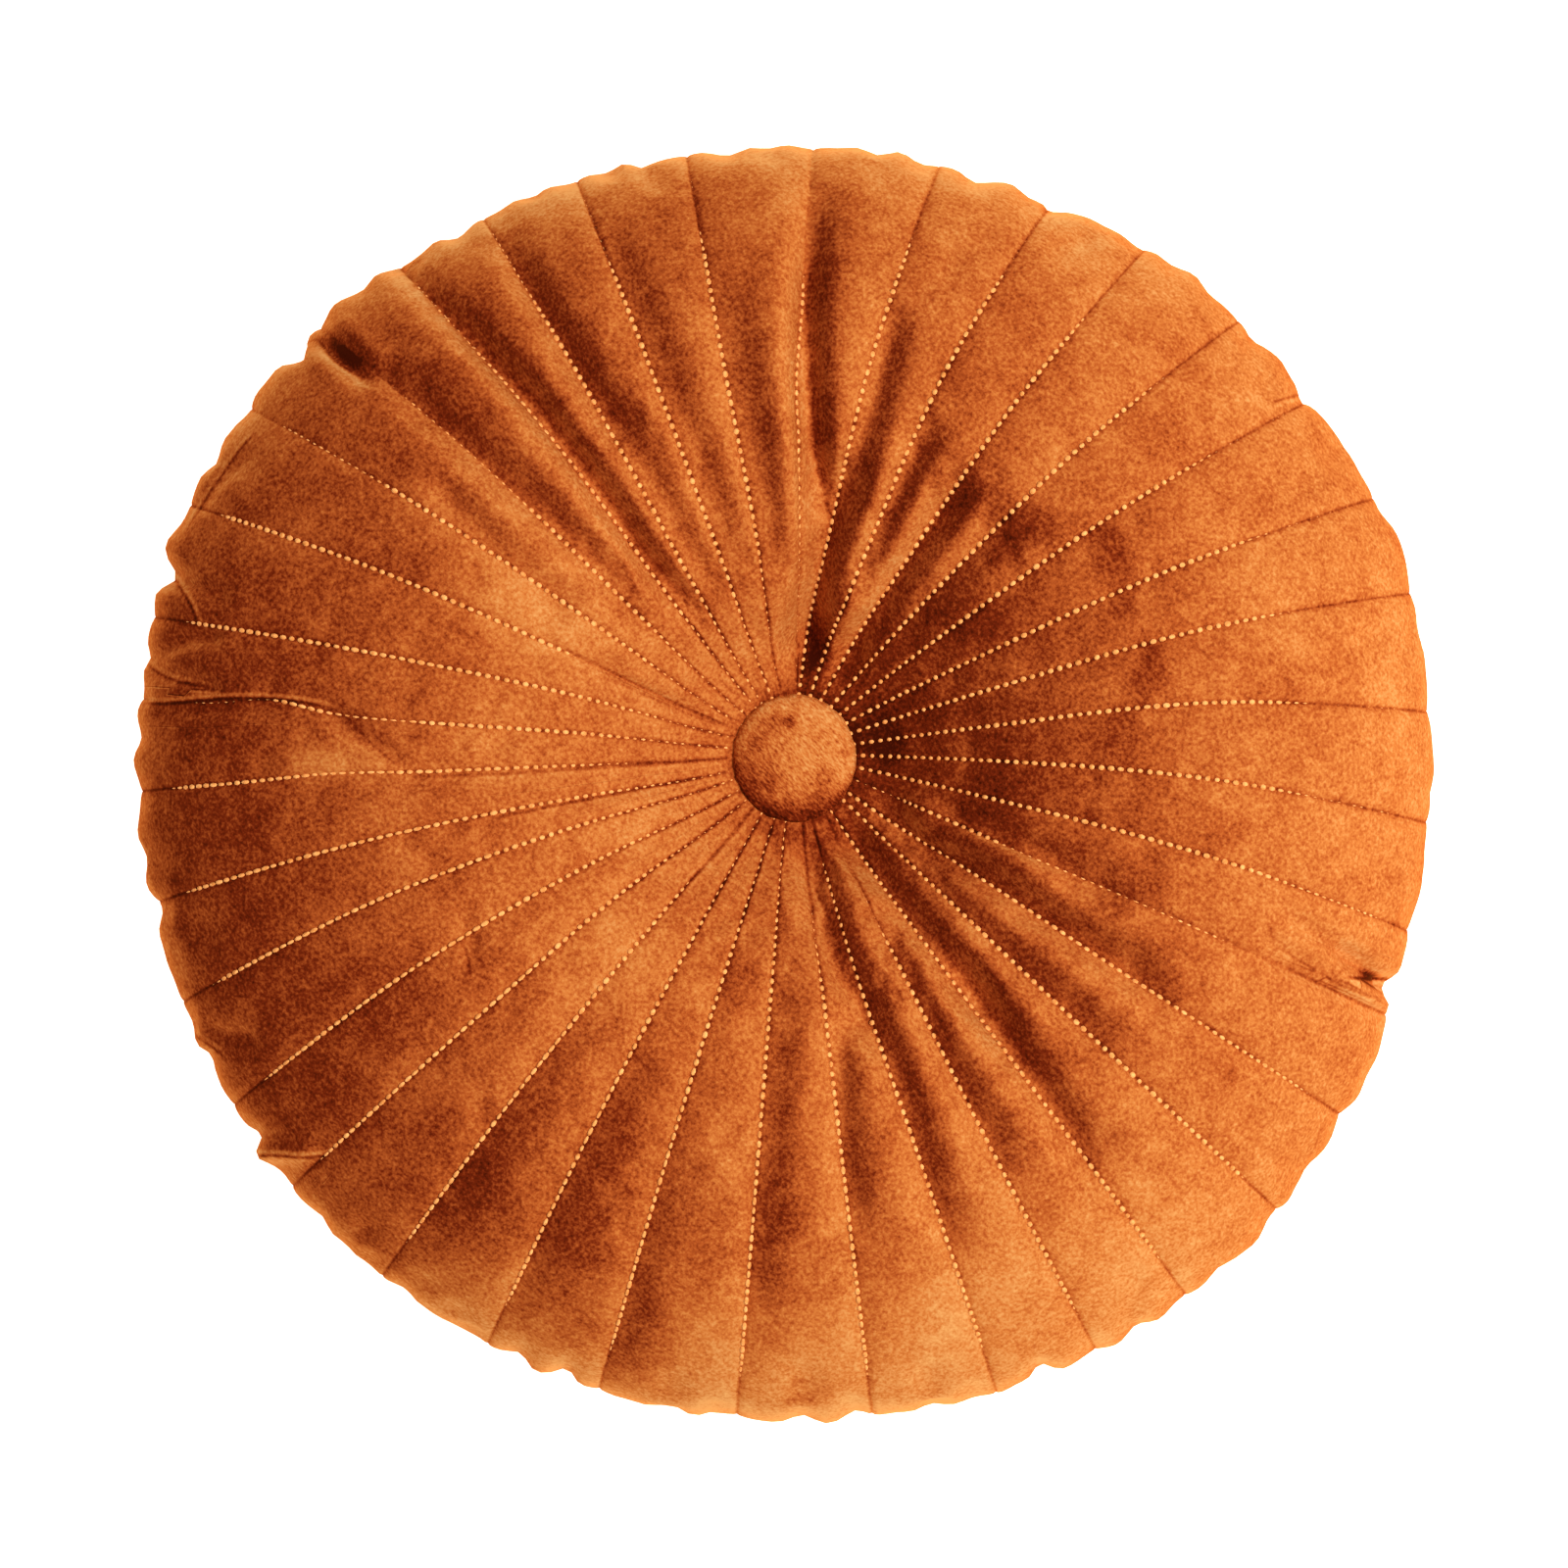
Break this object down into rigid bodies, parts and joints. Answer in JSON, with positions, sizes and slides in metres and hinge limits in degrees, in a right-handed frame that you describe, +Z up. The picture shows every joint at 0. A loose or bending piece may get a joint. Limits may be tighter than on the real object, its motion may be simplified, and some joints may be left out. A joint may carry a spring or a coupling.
{
  "type": "pumpkin cushion",
  "caption": "Round pleated velvet cushion with radial stitched channels drawn in to a covered button on each side, lying on its back.",
  "frame": {"origin": "middle of the cushion's base, on the surface that it lies on", "axes": "+Z up out of the cushion's face, +X to the right and +Y away from the viewer as the face is seen in the picture"},
  "size_m": [0.3798, 0.374, 0.0997],
  "materials": {
    "velvet": "short-pile velvet, burnt orange",
    "button_velvet": "short-pile velvet stretched over a button, burnt orange",
    "thread": "twisted polyester sewing thread, light orange"
  },
  "bodies": {
    "root": {"cushion_pad": "velvet", "front_button": "button_velvet", "back_button": "button_velvet"}
  },
  "joints": []
}
